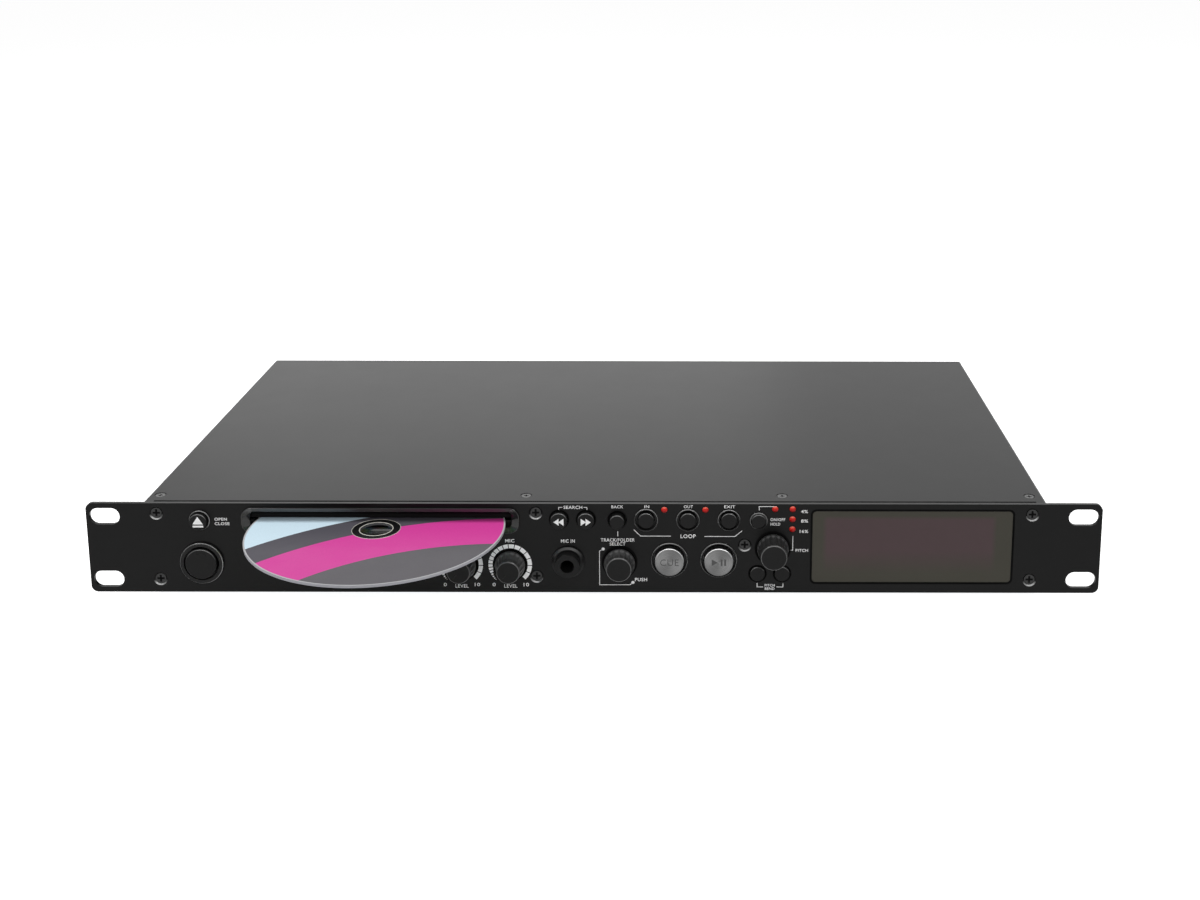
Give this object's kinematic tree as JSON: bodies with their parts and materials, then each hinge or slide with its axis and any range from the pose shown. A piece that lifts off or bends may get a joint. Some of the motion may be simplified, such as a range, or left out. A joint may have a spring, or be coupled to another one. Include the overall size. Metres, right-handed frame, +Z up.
{
  "type": "slot-loading rack disc player",
  "caption": "One-unit 19-inch rack disc player: slot loader with a half-ejected disc, display window, buttons and knobs, steel case with rear connectors.",
  "frame": {"origin": "centre of the four rack slots, in the plane of the front panel's face", "axes": "+X to the right seen from the front, +Y into the player, +Z up"},
  "size_m": [0.4826, 0.3152, 0.0492],
  "materials": {
    "black_panel": "satin black paint with a fine texture",
    "zinc_sheet": "zinc-plated sheet",
    "black_gloss": "gloss black plastic",
    "black_lip": "black dust lip",
    "window": "dark tinted acrylic over an unlit display",
    "lcd": "unlit display module",
    "board_green": "green solder mask",
    "switch_black": "moulded switch bodies",
    "led_red": "red lens",
    "ring_black": "semi-gloss black rings",
    "jack_black": "black moulded jack",
    "nut_black": "blackened nut",
    "pot_metal": "pressed metal housings",
    "cover_paint": "dark grey powder coat",
    "screw_black": "blackened steel",
    "foot_rubber": "black rubber",
    "chip_black": "chips, capacitors and headers",
    "transformer": "varnished transformer, capacitors and heat sink",
    "inlet_black": "moulded inlet",
    "rca_gold": "gold-coloured sockets",
    "loader_steel": "zinc-plated loader",
    "guide_plastic": "low-friction plastic",
    "motor_can": "plated motor can",
    "disc_print": "polycarbonate disc with a printed label",
    "roller_rubber": "rubber roller on a steel shaft",
    "gear_plastic": "natural acetal",
    "cam_steel": "dark plated steel slider",
    "traverse_sheet": "dark plated sheet",
    "rod_steel": "ground steel",
    "turntable_black": "black turntable",
    "sled_metal": "die-cast sled",
    "lens": "objective lens",
    "arm_steel": "plated clamp arm",
    "clamper_plastic": "clamper puck",
    "button_black": "semi-gloss black cap",
    "button_metal": "turned aluminium cap",
    "knob_black": "matt black knob"
  },
  "bodies": {
    "player": {"front_panel": "black_panel", "front_frame": "zinc_sheet", "slot_bezel": "black_gloss", "dust_lips": "black_lip", "display_window": "window", "lcd_module": "lcd", "control_board": "board_green", "panel_switches": "switch_black", "status_leds": "led_red", "button_rings": "ring_black", "phone_jacks": "jack_black", "jack_nuts": "nut_black", "rotary_controls": "pot_metal", "top_cover": "cover_paint", "bottom_chassis": "zinc_sheet", "panel_screws": "screw_black", "case_screws": "screw_black", "rubber_feet": "foot_rubber", "main_board": "board_green", "main_board_parts": "chip_black", "power_board": "board_green", "power_parts": "transformer", "mains_inlet": "inlet_black", "rca_sockets": "rca_gold", "loader_chassis": "loader_steel", "disc_guide": "guide_plastic", "loader_dampers": "foot_rubber", "loading_motor": "motor_can"},
    "disc": {"disc": "disc_print"},
    "feed_roller": {"feed_roller": "roller_rubber"},
    "idler_gear": {"idler_gear": "gear_plastic"},
    "motor_pinion": {"motor_pinion": "gear_plastic"},
    "cam_slider": {"cam_slider": "cam_steel"},
    "traverse": {"traverse_chassis": "traverse_sheet", "guide_rods": "rod_steel", "traverse_motors": "motor_can"},
    "turntable": {"turntable": "turntable_black"},
    "pickup": {"pickup_sled": "sled_metal", "objective_lens": "lens"},
    "lead_screw": {"lead_screw": "rod_steel"},
    "clamp_arm": {"clamp_arm": "arm_steel"},
    "clamper": {"clamper": "clamper_plastic"},
    "open_close_button": {"open_close_button": "button_black"},
    "search_back_button": {"search_back_button": "button_black"},
    "search_forward_button": {"search_forward_button": "button_black"},
    "back_button": {"back_button": "button_black"},
    "loop_in_button": {"loop_in_button": "button_black"},
    "loop_out_button": {"loop_out_button": "button_black"},
    "loop_exit_button": {"loop_exit_button": "button_black"},
    "hold_button": {"hold_button": "button_black"},
    "pitch_bend_minus_button": {"pitch_bend_minus_button": "button_black"},
    "pitch_bend_plus_button": {"pitch_bend_plus_button": "button_black"},
    "cue_button": {"cue_button": "button_metal"},
    "play_button": {"play_button": "button_metal"},
    "power_button": {"power_button": "button_black"},
    "mic_level_knob": {"mic_level_knob": "knob_black"},
    "phones_level_knob": {"phones_level_knob": "knob_black"},
    "pitch_knob": {"pitch_knob": "knob_black"},
    "track_push_plate": {"track_push_plate": "rod_steel"},
    "track_select_knob": {"track_select_knob": "knob_black"}
  },
  "joints": [
    {"name": "disc_load", "type": "slide", "parent": "player", "child": "disc", "axis": [0, 1, 0], "range_m": [0, 0.088]},
    {"name": "feed_roller_spin", "type": "hinge", "parent": "player", "child": "feed_roller", "pos_m": [-0.1017, 0.024, 0.0073], "axis": [-1, 0, 0], "range_deg": [-2, 1010]},
    {"name": "idler_spin", "type": "hinge", "parent": "player", "child": "idler_gear", "pos_m": [-0.1769, 0.03687, -0.0035], "axis": [1, 0, 0], "range_deg": [-2, 1111]},
    {"name": "pinion_spin", "type": "hinge", "parent": "player", "child": "motor_pinion", "pos_m": [-0.1769, 0.05026, -0.00586], "axis": [-1, 0, 0], "range_deg": [-2, 1588]},
    {"name": "cam_slide", "type": "slide", "parent": "player", "child": "cam_slider", "axis": [0, 1, 0], "range_m": [0, 0.011]},
    {"name": "traverse_lift", "type": "slide", "parent": "player", "child": "traverse", "axis": [0, 0, 1], "range_m": [0, 0.0022]},
    {"name": "clamp_close", "type": "hinge", "parent": "player", "child": "clamp_arm", "pos_m": [-0.1017, 0.15, 0.0152], "axis": [1, 0, 0], "range_deg": [0, 1.12]},
    {"name": "turntable_spin", "type": "hinge", "parent": "traverse", "child": "turntable", "pos_m": [-0.1017, 0.0784, 0.0101], "axis": [0, 0, 1], "continuous": true},
    {"name": "clamper_spin", "type": "hinge", "parent": "clamp_arm", "child": "clamper", "pos_m": [-0.1017, 0.07843, 0.0174], "axis": [0, 0.0195, 0.9998], "continuous": true},
    {"name": "sled_slide", "type": "slide", "parent": "traverse", "child": "pickup", "axis": [0, 1, 0], "range_m": [0, 0.034]},
    {"name": "lead_screw_spin", "type": "hinge", "parent": "traverse", "child": "lead_screw", "pos_m": [-0.0657, 0.12, -0.0007], "axis": [0, -1, 0], "range_deg": [-5, 4085]},
    {"name": "open_close_press", "type": "slide", "parent": "player", "child": "open_close_button", "axis": [0, 1, 0], "range_m": [0, 0.001], "stiffness_N_per_m": 1500},
    {"name": "search_back_press", "type": "slide", "parent": "player", "child": "search_back_button", "axis": [0, 1, 0], "range_m": [0, 0.001], "stiffness_N_per_m": 1500},
    {"name": "search_forward_press", "type": "slide", "parent": "player", "child": "search_forward_button", "axis": [0, 1, 0], "range_m": [0, 0.001], "stiffness_N_per_m": 1500},
    {"name": "back_press", "type": "slide", "parent": "player", "child": "back_button", "axis": [0, 1, 0], "range_m": [0, 0.001], "stiffness_N_per_m": 1500},
    {"name": "loop_in_press", "type": "slide", "parent": "player", "child": "loop_in_button", "axis": [0, 1, 0], "range_m": [0, 0.001], "stiffness_N_per_m": 1500},
    {"name": "loop_out_press", "type": "slide", "parent": "player", "child": "loop_out_button", "axis": [0, 1, 0], "range_m": [0, 0.001], "stiffness_N_per_m": 1500},
    {"name": "loop_exit_press", "type": "slide", "parent": "player", "child": "loop_exit_button", "axis": [0, 1, 0], "range_m": [0, 0.001], "stiffness_N_per_m": 1500},
    {"name": "hold_press", "type": "slide", "parent": "player", "child": "hold_button", "axis": [0, 1, 0], "range_m": [0, 0.001], "stiffness_N_per_m": 1500},
    {"name": "pitch_bend_minus_press", "type": "slide", "parent": "player", "child": "pitch_bend_minus_button", "axis": [0, 1, 0], "range_m": [0, 0.001], "stiffness_N_per_m": 1500},
    {"name": "pitch_bend_plus_press", "type": "slide", "parent": "player", "child": "pitch_bend_plus_button", "axis": [0, 1, 0], "range_m": [0, 0.001], "stiffness_N_per_m": 1500},
    {"name": "cue_press", "type": "slide", "parent": "player", "child": "cue_button", "axis": [0, 1, 0], "range_m": [0, 0.001], "stiffness_N_per_m": 1500},
    {"name": "play_press", "type": "slide", "parent": "player", "child": "play_button", "axis": [0, 1, 0], "range_m": [0, 0.001], "stiffness_N_per_m": 1500},
    {"name": "power_press", "type": "slide", "parent": "player", "child": "power_button", "axis": [0, 1, 0], "range_m": [0, 0.003], "stiffness_N_per_m": 400},
    {"name": "mic_level_turn", "type": "hinge", "parent": "player", "child": "mic_level_knob", "pos_m": [-0.0406, -0.005, -0.0084], "axis": [0, 1, 0], "range_deg": [0, 280]},
    {"name": "phones_level_turn", "type": "hinge", "parent": "player", "child": "phones_level_knob", "pos_m": [-0.064, -0.005, -0.0084], "axis": [0, 1, 0], "range_deg": [0, 280]},
    {"name": "pitch_turn", "type": "hinge", "parent": "player", "child": "pitch_knob", "pos_m": [0.0848, -0.005, 0.00015], "axis": [0, 1, 0], "continuous": true},
    {"name": "track_push", "type": "slide", "parent": "player", "child": "track_push_plate", "axis": [0, 1, 0], "range_m": [0, 0.0008], "stiffness_N_per_m": 2000},
    {"name": "track_select_turn", "type": "hinge", "parent": "track_push_plate", "child": "track_select_knob", "pos_m": [0.0117, -0.005, -0.00705], "axis": [0, 1, 0], "continuous": true}
  ],
  "couplings": [
    {"joint": "feed_roller_spin", "follows": "disc_load", "rad_per_m": 200},
    {"joint": "idler_spin", "follows": "disc_load", "rad_per_m": 220},
    {"joint": "pinion_spin", "follows": "disc_load", "rad_per_m": 314.29},
    {"joint": "traverse_lift", "follows": "cam_slide", "ratio": 0.2},
    {"joint": "clamp_close", "follows": "cam_slide", "rad_per_m": 1.777},
    {"joint": "clamper_spin", "follows": "turntable_spin", "ratio": 1},
    {"joint": "lead_screw_spin", "follows": "sled_slide", "rad_per_m": 2094.4}
  ]
}
